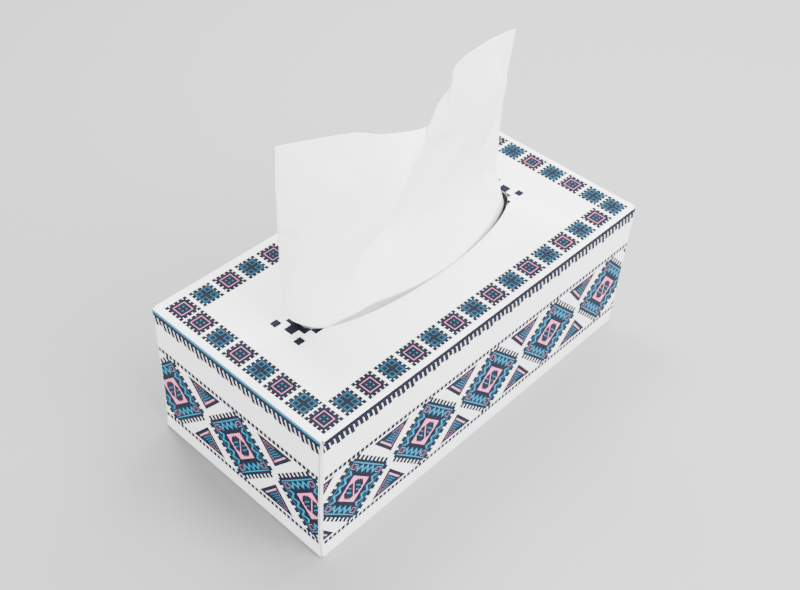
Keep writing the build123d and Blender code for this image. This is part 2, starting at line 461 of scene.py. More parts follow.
@dataclass(frozen=True)
class FriezePrint:
    """The print round the carton's four sides: fringe, two dashed lines, rugs and triangles; in mm.

    Along is the distance from the panel's left edge and down the distance below the top edge. The
    end values hold on the two short panels. A fringe wave has its turn from stroke to stroke, in
    radians, and its rise. The steps, post and needle of a rug's medallion have their half width and
    half height.
    """

    pitch: float = 48.25
    middle: float = 48.5
    first_rug: float = 20.05
    end_shift: float = -8.95
    rug_high_to_wide: float = 0.985
    band_foot: float = 2.8
    end_band_drop: float = 0.9
    end_blue_foot: float = 1.7
    fringe_pitch: float = 2.9
    fringe_half: float = 1.13
    fringe_slant: float = 0.29
    fringe_reach: float = 4.5
    fringe_overlap: float = 0.1
    fringe_waves: tuple[tuple[float, float], ...] = ((2.39, 0.75), (5.31, 0.45))
    dash_offset: float = 23.35
    dash_pitch: float = 2.78
    dash_half_long: float = 1.1
    dash_half_high: float = 1.35
    body_reach: float = 15.5
    tooth_reach: float = 17.8
    tooth_pitch: float = 3.65
    tooth_gap: float = 0.5
    tooth_span: float = 14.8
    line_reach: float = 13.7
    line_half: float = 0.32
    thin_line_half: float = 0.17
    zigzag_pitch: float = 4.7
    zigzag_out: float = 12.7
    zigzag_in: float = 9.7
    zigzag_half: float = 0.9
    corner_reach: float = 8.9
    eyelet_reach: float = 11.2
    eyelet_half: float = 2.3
    eyelet_ring: float = 1.4
    hairline_half: float = 0.09
    frame_reach: float = 8.6
    pink_reach: float = 6.8
    steps: tuple[tuple[float, float], ...] = ((6.1, 2.3), (5.0, 3.8), (3.4, 5.1))
    step_inset: float = 1.6
    step_lines_pitch: float = 2.3
    step_lines_half: float = 0.26
    post: tuple[float, float] = (1.5, 4.7)
    needle: tuple[float, float] = (0.3, 4.9)
    triangle_half: float = 11.5
    triangle_high: float = 14.2
    triangle_top: float = 20.8
    triangle_rim: float = 0.15
    triangle_hairline: float = 1.9
    triangle_bar: float = 2.2
    triangle_bar_half: float = 0.45
    triangle_heart: float = 3.0
    triangle_lines_slant: float = 0.9
    triangle_lines_pitch: float = 1.7
    triangle_lines_half: float = 0.22

    def fringe(self, canvas: Canvas, along: Formula, down: Formula, end: Formula) -> None:
        """Paints the band at the top edge and the slanted strokes that hang from it.

        The strokes' lengths vary by sines of their number.

        Args:
            canvas: what is painted on.
            along: distance along the panel.
            down: distance below the top edge.
            end: 1 on the short panels, whose band lies lower under a blue one.
        """
        foot = end * self.end_band_drop + self.band_foot
        canvas.paint(down.below(self.end_blue_foot) * end, Ink.BLUE)
        band = down.above(end * self.end_blue_foot) * down.below(foot)
        below = down - foot
        lane = (along - below * self.fringe_slant) * (1 / self.fringe_pitch)
        number = lane.whole()
        stroke = (lane - number).size().below(self.fringe_half / self.fringe_pitch)
        waves = [(number * turn).apply("SINE") * rise for turn, rise in self.fringe_waves]
        length = reduce(add, waves) + self.fringe_reach
        canvas.paint(band | (stroke * below.below(length) * below.above(-self.fringe_overlap)), Ink.DARK)

    def rug(self, canvas: Canvas, across: Formula, down: Formula) -> None:
        """Paints a square rug standing on its corner, from its toothed edge in to its middle.

        Its sides lie at equal reach, the larger of the two distances from its slanted axes; along each
        side the teeth and the zigzag follow a triangle wave of the other distance.

        Args:
            canvas: what is painted on.
            across: distance from the rug's middle along the panel.
            down: distance below the rug's middle.
        """
        half = math.sqrt(0.5)
        fall, rise = (across + down) * half, (across - down) * half
        fall_size, rise_size = fall.size(), rise.size()
        reach, beside = fall_size.most(rise_size), fall_size.least(rise_size)
        canvas.paint(reach.below(self.body_reach), Ink.DARK)
        teeth = beside.zigzag(self.tooth_pitch).above(self.tooth_gap) * beside.below(self.tooth_span)
        canvas.paint(teeth * reach.below(self.tooth_reach), Ink.DARK)
        on_rising = rise_size.above(fall_size)
        line_half = on_rising * (self.line_half - self.thin_line_half) + self.thin_line_half
        line = (reach - self.line_reach).size().below(line_half)
        drop = (self.zigzag_out - self.zigzag_in) / (self.zigzag_pitch / 2)
        middle = beside.zigzag(self.zigzag_pitch) * -drop + self.zigzag_out
        zigzag = reach.near(middle, self.zigzag_half) * reach.below(self.line_reach)
        corner = beside.above(self.corner_reach) * reach.below(self.line_reach)
        canvas.paint(line | zigzag | corner, Ink.BLUE)
        eyelet = (fall_size - self.eyelet_reach).size().most((rise_size - self.eyelet_reach).size())
        canvas.paint(eyelet.below(self.eyelet_half), Ink.DARK)
        canvas.paint(eyelet.near(self.eyelet_ring, self.hairline_half), Ink.PINK)
        canvas.paint(reach.below(self.frame_reach), Ink.DARK)
        canvas.paint(reach.below(self.pink_reach), Ink.PINK)
        self.medallion(canvas, across.size(), down.size(), rise)

    def medallion(self, canvas: Canvas, across: Formula, down: Formula, rise: Formula) -> None:
        """Paints the stepped shape in a rug's middle, its slanted lines and its upright light line.

        Args:
            canvas: what is painted on.
            across: distance from the middle along the panel, without sign.
            down: distance from the middle up or down, without sign.
            rise: distance from the rug's falling axis, which the slanted lines keep to.
        """
        def stepped(inset: float) -> Formula:
            """The stepped outline, drawn in by the inset aside and by half of it above and below."""
            steps = [across.below(wide - inset) * down.below(high - inset / 2) for wide, high in self.steps]
            return reduce(or_, steps)

        inside = stepped(self.step_inset)
        lines = rise.repeated(self.step_lines_pitch).size().below(self.step_lines_half)
        canvas.paint(stepped(0.0), Ink.DARK)
        canvas.paint(inside, Ink.TEAL)
        canvas.paint(inside * lines, Ink.BLUE)
        for (wide, high), ink in ((self.post, Ink.DARK), (self.needle, Ink.PINK)):
            canvas.paint(across.below(wide) * down.below(high), ink)

    def triangle(self, canvas: Canvas, across: Formula, down: Formula) -> None:
        """Paints the triangle that points at the gap between two rugs, above or below.

        The lower one is the upper one turned half round, so its coordinates are turned. A slanted
        side's distance is the room left at that height, times the sine of the side's angle.

        Args:
            canvas: what is painted on.
            across: distance from the middle between two rugs along the panel.
            down: distance below the rugs' middle.
        """
        turned = down.above(0.0) * -2.0 + 1.0
        along = across * turned
        depth = down.size().minus_from(self.triangle_top)
        room = depth * (-self.triangle_half / self.triangle_high) - along.size() + self.triangle_half
        side = room * (self.triangle_high / math.hypot(self.triangle_high, self.triangle_half))
        inside = side.least(depth)
        canvas.paint(inside.above(-self.triangle_rim), Ink.DARK)
        left = along.below(0.0)
        bar = side.near(self.triangle_bar, self.triangle_bar_half) * depth.above(self.triangle_hairline)
        canvas.paint(bar * left, Ink.PINK)
        hairline = inside.near(self.triangle_hairline, self.hairline_half)
        canvas.paint(hairline * left.minus_from(1.0), Ink.PINK)
        heart = inside.above(self.triangle_heart)
        canvas.paint(heart, Ink.TEAL)
        lines = (along - depth * self.triangle_lines_slant).repeated(self.triangle_lines_pitch).size()
        canvas.paint(heart * lines.below(self.triangle_lines_half), Ink.BLUE)

    def group(self) -> Group:
        """Builds the sides' print.

        Returns:
            The group: Along, Down, End (1 on the short panels) and Ground in, Colour out.
        """
        inputs = {Kind.NUMBER: ("Along", "Down", "End"), Kind.COLOUR: ("Ground",)}
        made = Group("side panels print", inputs)
        along, down, end = made.number("Along"), made.number("Down"), made.number("End")
        canvas = Canvas(made.tree, made.socket("Ground"))
        self.fringe(canvas, along, down, end)
        below = down - self.middle
        dash = along.repeated(self.dash_pitch).size().below(self.dash_half_long)
        canvas.paint(dash * below.size().near(self.dash_offset, self.dash_half_high), Ink.DARK)
        turn = end * -2.0 + 1.0
        placed = along - (end * self.end_shift + self.first_rug)
        self.triangle(canvas, (placed - self.pitch / 2).repeated(self.pitch) * turn, below)
        self.rug(canvas, placed.repeated(self.pitch) * turn * self.rug_high_to_wide, below)
        made.give("Colour", canvas.colour, Kind.COLOUR)
        return made


@dataclass(frozen=True)
class CartonSize:
    """The carton's outer sizes, in mm."""

    length: float = CARTON_LENGTH
    width: float = CARTON_WIDTH
    height: float = CARTON_HEIGHT


@dataclass(frozen=True)
class CartonPrint(CartonSize):
    """Lays the top and side prints on the carton's outermost skin; sizes in mm."""

    skin: float = 0.3

    def group(self) -> Group:
        """Picks each point's panel by the carton's face that it lies nearest to, and paints its skin.

        Returns:
            The group: Position (Object coordinates in metres) and Ground in, Colour out.
        """
        made = Group("carton print", {Kind.COLOUR: ("Ground",), Kind.PLACE: ("Position",)})
        split = made.tree.nodes.new("ShaderNodeSeparateXYZ")
        made.tree.links.new(made.socket("Position"), split.inputs[0])
        x, y, z = (Formula(made.tree, socket) * (1 / MM) for socket in split.outputs)
        to_end = x.size().minus_from(self.length / 2)
        to_side = y.size().minus_from(self.width / 2)
        to_top = z.minus_from(self.height)
        on_end = to_end.below(to_side)
        long_along = x * (y.apply("SIGN") * -1.0) + self.length / 2
        short_along = y * x.apply("SIGN") + self.width / 2
        sides = FriezePrint().group().place(made.tree, {
            "Along": long_along.swapped(short_along, on_end),
            "Down": to_top,
            "End": on_end,
            "Ground": made.socket("Ground"),
        })
        top = TopPrint().group(TilePrint().group()).place(made.tree, {
            "Right": x + self.length / 2,
            "Down": y.minus_from(self.width / 2),
            "Ground": made.socket("Ground"),
        })
        canvas = Canvas(made.tree, made.socket("Ground"))
        to_wall = to_end.least(to_side)
        canvas.paint(to_wall.below(self.skin), sides.outputs["Colour"])
        canvas.paint(to_top.below(to_wall) * to_top.below(self.skin), top.outputs["Colour"])
        made.give("Colour", canvas.colour, Kind.COLOUR)
        return made


# The finishes


@dataclass(frozen=True)
class Grain:
    """Paper grain, in a layer of short fibres and one of long soft clouds.

    Each layer has its output's name, its share of the grain's scale, and its detail.
    """

    roughness: float = 0.6
    layers: tuple[tuple[str, float, float], ...] = (("Height", 1.0, 4.0), ("Cloud", 0.06, 2.0))

    def group(self) -> Group:
        """Builds each layer as a noise on Object coordinates.

        Returns:
            The group: Scale and Position in, Height and Cloud out.
        """
        made = Group("paper grain", {Kind.NUMBER: ("Scale",), Kind.PLACE: ("Position",)})
        for name, share, detail in self.layers:
            noise = made.tree.nodes.new("ShaderNodeTexNoise")
            feeds = {
                "Vector": made.socket("Position"),
                "Scale": made.number("Scale") * share,
                "Detail": detail,
                "Roughness": self.roughness,
            }
            for label, source in feeds.items():
                feed(made.tree, source, noise.inputs[label])
            made.give(name, noise.outputs["Fac"], Kind.NUMBER)
        return made


@dataclass(frozen=True)
class Finish:
    """What a material's shader is set to, the same all over the surface."""

    name: str
    roughness: float
    specular: float

    def start(self) -> tuple[Material, Node, NodeSocket]:
        """Makes the material.

        Returns:
            The material, its Principled node, and the Object coordinates.
        """
        material = bpy.data.materials.new(self.name)
        material.use_nodes = True
        shader = material.node_tree.nodes["Principled BSDF"]
        shader.inputs["Roughness"].default_value = self.roughness
        shader.inputs["Specular IOR Level"].default_value = self.specular
        places = material.node_tree.nodes.new("ShaderNodeTexCoord")
        return material, shader, places.outputs["Object"]


@dataclass(frozen=True)
class CoatedBoard(Finish):
    """The board's printed, clay-coated outside."""

    name: str = "coated board"
    roughness: float = 0.55
    specular: float = 0.08
    grain_scale: float = 2600.0
    bump: float = 0.06
    bump_depth: float = 0.0001

    def make(self, grain: Group) -> Material:
        """Builds the material.

        Args:
            grain: the paper grain group.

        Returns:
            The material.
        """
        material, shader, places = self.start()
        tree = material.node_tree
        printed = CartonPrint().group().place(tree, {"Position": places, "Ground": Ink.BOARD.value})
        fibre = grain.place(tree, {"Scale": self.grain_scale, "Position": places})
        feed(tree, printed.outputs["Colour"], shader.inputs["Base Color"])
        normal = embossed(tree, fibre.outputs["Height"], self.bump, self.bump_depth)
        feed(tree, normal, shader.inputs["Normal"])
        return material


@dataclass(frozen=True)
class RawBoard(Finish):
    """The board's uncoated inside and its cut edges."""

    name: str = "raw board"
    roughness: float = 0.85
    specular: float = 0.3
    grain_scale: float = 1400.0
    dark: Colour = linear(196, 194, 190)
    light: Colour = linear(216, 214, 210)

    def make(self, grain: Group) -> Material:
        """Builds the material, whose colour varies with its fibres.

        Args:
            grain: the paper grain group.

        Returns:
            The material.
        """
        material, shader, places = self.start()
        tree = material.node_tree
        fibre = grain.place(tree, {"Scale": self.grain_scale, "Position": places})
        colour = mixed(tree, fibre.outputs["Height"], self.dark, self.light)
        feed(tree, colour, shader.inputs["Base Color"])
        return material


@dataclass(frozen=True)
class CrepedTissue(Finish):
    """Soft white tissue, matt, letting some light through, with a fine grain for its crepe."""

    name: str = "creped tissue"
    roughness: float = 1.0
    specular: float = 0.1
    grain_scale: float = 1500.0
    dark: Colour = linear(246, 246, 246)
    light: Colour = linear(252, 252, 252)
    bump: float = 0.25
    bump_depth: float = 0.0002
    through: float = 0.1

    def make(self, grain: Group) -> Material:
        """Builds the material: a matt sheet mixed with one that passes light.

        Args:
            grain: the paper grain group.

        Returns:
            The material.
        """
        material, shader, places = self.start()
        tree = material.node_tree
        fibre = grain.place(tree, {"Scale": self.grain_scale, "Position": places})
        colour = mixed(tree, fibre.outputs["Cloud"], self.dark, self.light)
        normal = embossed(tree, fibre.outputs["Height"], self.bump, self.bump_depth)
        glow = tree.nodes.new("ShaderNodeBsdfTranslucent")
        blend = tree.nodes.new("ShaderNodeMixShader")
        for source, slot in (
            (colour, shader.inputs["Base Color"]),
            (normal, shader.inputs["Normal"]),
            (colour, glow.inputs["Color"]),
            (normal, glow.inputs["Normal"]),
            (self.through, blend.inputs[0]),
            (shader.outputs[0], blend.inputs[1]),
            (glow.outputs[0], blend.inputs[2]),
            (blend.outputs[0], tree.nodes["Material Output"].inputs["Surface"]),
        ):
            feed(tree, source, slot)
        return material


@dataclass(frozen=True)
class PaleFloor(Finish):
    """The studio's pale floor."""

    name: str = "pale floor"
    roughness: float = 0.9
    specular: float = 0.2
    colour: Colour = linear(158, 158, 158)

    def make(self) -> Material:
        """Builds the material, one even pale grey.

        Returns:
            The material.
        """
        material, shader, _ = self.start()
        shader.inputs["Base Color"].default_value = self.colour
        return material


# Surfaces and objects


def new_object(name: str, data: bpy.types.ID) -> Object:
    """Makes an object at the origin and puts it into the scene.

    Args:
        name: the object's name.
        data: its mesh, lamp or camera.

    Returns:
        The object.
    """
    made = bpy.data.objects.new(name, data)
    bpy.context.scene.collection.objects.link(made)
    return made


def new_piece(name: str, points: np.ndarray, faces: Union[np.ndarray, list]) -> Object:
    """Makes a mesh object at the origin.

    Args:
        name: the piece's name.
        points: its vertices, one row of x, y, z each, in metres.
        faces: its faces, each the numbers of its vertices.

    Returns:
        The object.
    """
    mesh = bpy.data.meshes.new(name)
    mesh.from_pydata(points, [], faces)
    mesh.update()
    return new_object(name, mesh)


def dress_smooth(piece: Object, finish: Material) -> None:
    """Gives a piece its one material and smooth shading."""
    piece.data.materials.append(finish)
    piece.data.polygons.foreach_set("use_smooth", np.ones(len(piece.data.polygons), dtype=bool))


def grid_faces(rows: int, columns: int, closed: bool = False) -> np.ndarray:
    """Quads of a grid of points whose vertex number is row times columns plus column.

    Args:
        rows: number of rows of points.
        columns: number of points in a row.
        closed: whether a row's last point is joined to its first.

    Returns:
        One row of four vertex numbers for each quad.
    """
    row = np.arange(rows - 1)[:, None] * columns
    column = np.arange(columns if closed else columns - 1)
    start, following = (row + column).ravel(), (row + (column + 1) % columns).ravel()
    return np.stack([start, following, following + columns, start + columns], axis=1)


def through_points(points: np.ndarray, places: np.ndarray) -> np.ndarray:
    """Samples the smooth curves that pass through given points along the first axis.

    Between two points the curve is the cubic that runs at each point in the direction of its two
    neighbours.

    Args:
        points: at least two points along the first axis, of any further shape.
        places: where to sample, in points counted from the first one.

    Returns:
        The samples along the first axis.
    """
    ends = np.concatenate([[2 * points[0] - points[1]], points, [2 * points[-1] - points[-2]]])
    span = np.minimum(places.astype(int), len(points) - 2)
    t = (places - span).reshape(-1, *[1] * (points.ndim - 1))
    before, start, end, after = (ends[span + shift] for shift in range(4))
    bent = 2 * before - 5 * start + 4 * end - after
    twisted = 3 * start - before - 3 * end + after
    return (2 * start + t * (end - before) + t**2 * bent + t**3 * twisted) / 2


def scaled_to_one(vectors: np.ndarray) -> np.ndarray:
    """Vectors along the last axis, each scaled to a length of 1."""
    return vectors / np.maximum(np.linalg.norm(vectors, axis=-1, keepdims=True), TINY)


def grid_normals(points: np.ndarray) -> np.ndarray:
    """Unit normals of a grid of points, rows by columns by 3: columns crossed with rows."""
    return scaled_to_one(np.cross(np.gradient(points, axis=1), np.gradient(points, axis=0)))


def eased(share: np.ndarray) -> np.ndarray:
    """0 below 0, 1 above 1, and a smooth rise between them."""
    held = np.clip(share, 0, 1)
    return held * held * (3 - 2 * held)


# The carton


@dataclass(frozen=True)
class PrintedCarton(CartonSize):
    """The folded board carton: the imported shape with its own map, a coated and a raw face; in mm.

    A face looks outward where its normal's share along an axis is over the turn given here. Points
    that agree to the join digits of their places in metres are one. The map's patches are scaled by
    the small patch's share, and set apart by the last two lengths.
    """

    skin: float = 0.24
    skin_turn: float = 0.3
    flap_depth: float = 1.2
    flap_turn: float = 0.9
    join_digits: int = 7
    gap: float = 3.0
    small_patch: float = 0.1
    patch_right: float = 30.0
    patch_up: float = 16.0

    def build(self, grain: Group) -> Object:
        """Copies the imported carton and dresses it.

        Args:
            grain: the paper grain group.

        Returns:
            The carton.
        """
        points, faces = self.joined()
        piece = new_piece("printed_carton", points, faces)
        a, b, c = (points[faces[:, i]] for i in range(3))
        normals = scaled_to_one(np.cross(b - a, c - a))
        coated = self.coated(normals, (a + b + c) / 3)
        for finish in (CoatedBoard(), RawBoard()):
            piece.data.materials.append(finish.make(grain))
        piece.data.polygons.foreach_set("material_index", np.where(coated, 0, 1).astype(np.int32))
        self.lay_map(piece, points[faces], normals, coated)
        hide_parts("carton")
        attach(piece, "root")
        return piece

    def joined(self) -> tuple[np.ndarray, np.ndarray]:
        """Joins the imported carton's loose triangles and drops those with two corners at one point.

        Returns:
            Its points, and its triangles as rows of three point numbers.
        """
        points, loops = packed_points("carton"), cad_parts["carton"].data.loops
        corners = np.empty(len(loops), dtype=int)
        loops.foreach_get("vertex_index", corners)
        rounded = np.round(points, self.join_digits)
        _, first, joined = np.unique(rounded, axis=0, return_index=True, return_inverse=True)
        faces = joined.ravel()[corners].reshape(-1, 3)
        return points[first], faces[(faces != np.roll(faces, -1, axis=1)).all(axis=1)]

    def coated(self, normals: np.ndarray, middles: np.ndarray) -> np.ndarray:
        """Tells the board's outside from its inside and cut edges.

        A face is outside where it looks away from the carton's middle and lies near the carton's
        outer box, or is a flap's outer face behind the end.

        Args:
            normals: each triangle's unit normal.
            middles: each triangle's middle.

        Returns:
            True for each coated triangle.
        """
        half = np.array([self.length / 2, self.width / 2, self.height / 2]) * MM
        place = middles - [0, 0, half[2]]
        depth = half - np.abs(place)
        outward = normals * np.sign(place)
        near = (depth < self.skin * MM) & (outward > self.skin_turn)
        flap = (depth[:, 0] < self.flap_depth * MM) & (outward[:, 0] > self.flap_turn)
        return near.any(axis=1) | flap

    def lay_map(self, piece: Object, corners: np.ndarray, normals: np.ndarray, coated: np.ndarray) -> None:
        """Gives the carton a map that lays its panels side by side, the printed ones large.

        Each triangle is laid flat along the axis it faces most. The five printed panels fill the
        sheet; the plain base and all inner faces are small patches in the corner left over.

        Args:
            piece: the carton.
            corners: each triangle's three corners.
            normals: each triangle's unit normal.
            coated: True for each coated triangle.
        """
        axis = np.argmax(np.abs(normals), axis=1)
        away = normals[np.arange(len(normals)), axis] > 0
        length, width, height, gap = (size * MM for size in (self.length, self.width, self.height, self.gap))
        along, across, up = np.moveaxis(corners, 2, 0) + np.reshape([length / 2, width / 2, 0], (3, 1, 1))
        small, right, corner = self.small_patch, length + 2 * gap, width * 2 + 3 * gap
        further, higher = right + self.patch_right * MM, corner + self.patch_up * MM
        panels = (
            (coated & (axis == 2) & away, along, across, gap, gap, 1.0),
            (coated & (axis == 1) & ~away, along, up, gap, width + 2 * gap, 1.0),
            (coated & (axis == 1) & away, along, up, gap, width + height + 3 * gap, 1.0),
            (coated & (axis == 0) & ~away, up, across, right, gap, 1.0),
            (coated & (axis == 0) & away, up, across, right, width + 2 * gap, 1.0),
            (coated & (axis == 2) & ~away, along, across, right, corner, small),
            (~coated & (axis == 2), along, across, further, corner, small),
            (~coated & (axis == 1), along, up, right, higher, small),
            (~coated & (axis == 0), across, up, further, higher, small),
        )
        wide = length + height + 3 * gap
        high = width + 2 * height + 4 * gap
        flat = np.zeros((*along.shape, 2))
        for chosen, first, second, left, foot, scale in panels:
            flat[chosen, :, 0] = (first[chosen] * scale + left) / wide
            flat[chosen, :, 1] = (second[chosen] * scale + foot) / high
        layer = piece.data.uv_layers.new(name="OFBake")
        layer.data.foreach_set("uv", flat.astype(np.float32).ravel())


# The stack and the sheets


@dataclass(frozen=True)
class TissuePile:
    """The stack of folded sheets, with the edge of every leaf; in mm.

    The leaf turns and the wander turn are in radians for each leaf.
    """

    half_length: float = STACK_HALF_LENGTH
    half_width: float = STACK_HALF_WIDTH
    foot: float = STACK_FOOT
    top: float = STACK_TOP
    edge_round: float = 3.0
    corner_power: int = 14
    leaf: float = 1.6
    groove: float = 0.4
    swell_power: float = 0.6
    uneven: float = 0.3
    leaf_turns: tuple[float, float] = (2.4, 0.77)
    wander_waves: int = 5
    wander_turn: float = 1.3
    wander_share: float = 0.5
    rows_per_leaf: int = 6
    around: int = 176
    rings: int = 8
    last_ring: float = 0.04

    def surface(self) -> np.ndarray:
        """Works out the stack's sides, and rings that close its foot and its top.

        Each level is a rectangle with tight corners: along the angle, high powers of the two scaled
        distances add up to 1. A leaf's side swells as a power of a sine between its grooves, whole
        leaves stand out unevenly by two sines of their number, and each leaf's outline wanders by a
        sine of the angle.

        Returns:
            Points in mm, rows from the foot's middle up to the top's and columns round the stack.
        """
        high = self.top - self.foot
        height = np.linspace(0, high, int(high / self.leaf) * self.rows_per_leaf + 1)
        near_edge = np.clip(self.edge_round - np.minimum(height, high - height), 0, None)
        drawn_in = self.edge_round - np.sqrt(self.edge_round**2 - near_edge**2)
        number = np.floor(height / self.leaf)
        swell = np.abs(np.sin(math.pi * height / self.leaf)) ** self.swell_power
        quick, slow = self.leaf_turns
        leaves = np.sin(number * quick + 1) * np.sin(number * slow) * self.uneven
        angle = (np.arange(self.around) + 0.5) / self.around * 2 * math.pi
        power = self.corner_power
        radius = (np.abs(np.cos(angle)) ** power + np.abs(np.sin(angle)) ** power) ** (-1 / power)
        wave = np.sin(angle * self.wander_waves + number[:, None] * self.wander_turn)
        wander = wave * self.wander_share * self.uneven
        out = ((swell - 1) * self.groove + leaves)[:, None]
        sides = np.empty((len(height), self.around, 3))
        sides[..., 0] = np.cos(angle) * radius * (self.half_length - self.uneven + out + wander)
        half_width = self.half_width - self.uneven + out + wander - drawn_in[:, None]
        sides[..., 1] = np.sin(angle) * radius * half_width
        sides[..., 2] = height[:, None] + self.foot
        shares = np.linspace(1, self.last_ring, self.rings + 1)[1:]
        shrink = np.stack([shares, shares, np.ones(self.rings)], axis=1)[:, None]
        return np.concatenate([(sides[0] * shrink)[::-1], sides, sides[-1] * shrink])

    def build(self, finish: Material) -> Object:
        """Builds the stack as one closed surface.

        Args:
            finish: the tissue's material.

        Returns:
            The stack.
        """
        points = self.surface()
        quads = grid_faces(len(points), self.around, closed=True).tolist()
        last = (len(points) - 1) * self.around
        ends = [list(range(self.around))[::-1], list(range(last, last + self.around))]
        piece = new_piece("tissue_pile", points.reshape(-1, 3) * MM, quads + ends)
        dress_smooth(piece, finish)
        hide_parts("tissue_stack")
        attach(piece, "root")
        return piece


@dataclass(frozen=True)
class Fold:
    """A fold of the raised sheet along a line across its front; in mm.

    The line is given by its distance from the carton's middle and its height. A groove has a negative
    rise. The fold falls off over the widths given for its left and its right side: as the exponential
    of the distance where its power is 1, and as that of the distance squared where it is 2. It fades
    out toward both ends of the line.
    """

    line: tuple[tuple[float, float], ...]
    rise: float
    left: float
    right: float
    power: float = 2.0
    fade: float = 14.0
    fineness: int = 6

    def lift(self, along: np.ndarray, up: np.ndarray) -> np.ndarray:
        """How far the fold lifts the sheet, by the nearest place on its line.

        Args:
            along: each point's distance from the carton's middle.
            up: each point's height.

        Returns:
            The lift of each point.
        """
        corners = np.array(self.line, dtype=float)
        line = through_points(corners, np.linspace(0, len(corners) - 1, self.fineness * len(corners)))
        steps = np.diff(line, axis=0)
        lengths = np.linalg.norm(steps, axis=1)
        starts = np.concatenate([[0], np.cumsum(lengths)])
        offset = np.stack([along, up], axis=-1)[..., None, :] - line[:-1]
        share = np.clip((offset * steps).sum(axis=-1) / lengths**2, 0, 1)
        distance = np.linalg.norm(offset - share[..., None] * steps, axis=-1)
        turn = steps[:, 0] * offset[..., 1] - steps[:, 1] * offset[..., 0]
        nearest = distance.argmin(axis=-1)[..., None]
        gone, run, side = (
            np.take_along_axis(values, nearest, axis=-1)[..., 0]
            for values in (distance, starts[:-1] + share * lengths, turn)
        )
        width = np.where(side * np.sign(steps[0, 1]) < 0, self.right, self.left)
        falling = np.exp(-((gone / width) ** self.power))
        return self.rise * falling * eased(run / self.fade) * eased((starts[-1] - run) / self.fade)


@dataclass(frozen=True)
class Waves:
    """Slight waves of the raised sheet, a broad and a fine one, both shifted by a bend; in mm.

    What a wave or the bend has along the carton and up it is its turn there, in radians a millimetre.
    """

    broad_rise: float = 0.3
    broad_along: float = 0.12
    broad_up: float = 0.1
    broad_start: float = 0.9
    broad_bend: float = 1.3
    fine_rise: float = 0.12
    fine_along: float = 0.31
    fine_up: float = 0.17
    fine_bend: float = 1.7
    bend_up: float = 0.11
    bend_start: float = 1.0
    slant: float = 0.6
    slant_along: float = 0.07
    slant_up: float = 0.05

    def lifts(self, along: np.ndarray, up: np.ndarray) -> list[np.ndarray]:
        """How far each wave lifts the sheet.

        The bend is a sine of the height and a smaller one that runs aslant. The broad wave is a sine
        along the carton, with the bend in its angle, times one of the height. The fine wave is a sine
        that runs aslant, with the bend in its angle.

        Args:
            along: each point's distance from the carton's middle.
            up: each point's height.

        Returns:
            The broad wave's lift of each point, and the fine one's.
        """
        aslant = np.sin(along * self.slant_along + up * self.slant_up)
        bend = np.sin(up * self.bend_up + self.bend_start) + self.slant * aslant
        broad = self.broad_rise * np.sin(along * self.broad_along + self.broad_bend * bend)
        fine = np.sin(along * self.fine_along - up * self.fine_up + self.fine_bend * bend)
        return [broad * np.sin(up * self.broad_up + self.broad_start), self.fine_rise * fine]


@dataclass(frozen=True)
class TissueSheet:
    """What both sheets share: the stack's level, the slot's, and how a sheet is made; in mm."""

    name: str
    node: str
    stack_top: float = STACK_TOP
    stack_half_width: float = STACK_HALF_WIDTH
    rim_level: float = CARTON_HEIGHT
    clearance: float = 0.2
    trailing_margin: float = 4.0
    tuck_bend: float = 20.0
    sheet_width: float = 200.0
    leaf_step: float = 0.7
    columns: int = 210
    thickness: float = 0.14

    @property
    def tucked_level(self) -> float:
        """The level of the raised sheet's tucked half, one leaf above the next sheet's lower leaf."""
        return self.stack_top + self.clearance + self.leaf_step

    @property
    def trailing(self) -> float:
        """How far behind the carton's middle the raised sheet's tucked edge lies."""
        return self.stack_half_width - self.trailing_margin

    def put_in(self, points: np.ndarray, finish: Material, rests_on: list[str]) -> Object:
        """Args:
            points: its grid of points in mm, rows by columns by 3.
            finish: the tissue's material.
            rests_on: names of what it lies on; not used.

        Returns:
            The piece.
        """
        piece = new_piece(self.name, points.reshape(-1, 3) * MM, grid_faces(*points.shape[:2]))
        dress_smooth(piece, finish)
        wall = piece.modifiers.new("sheet thickness", "SOLIDIFY")
        wall.thickness = self.thickness * MM
        wall.offset = 0.0
        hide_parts(self.node)
        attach(piece, "root")
        return piece


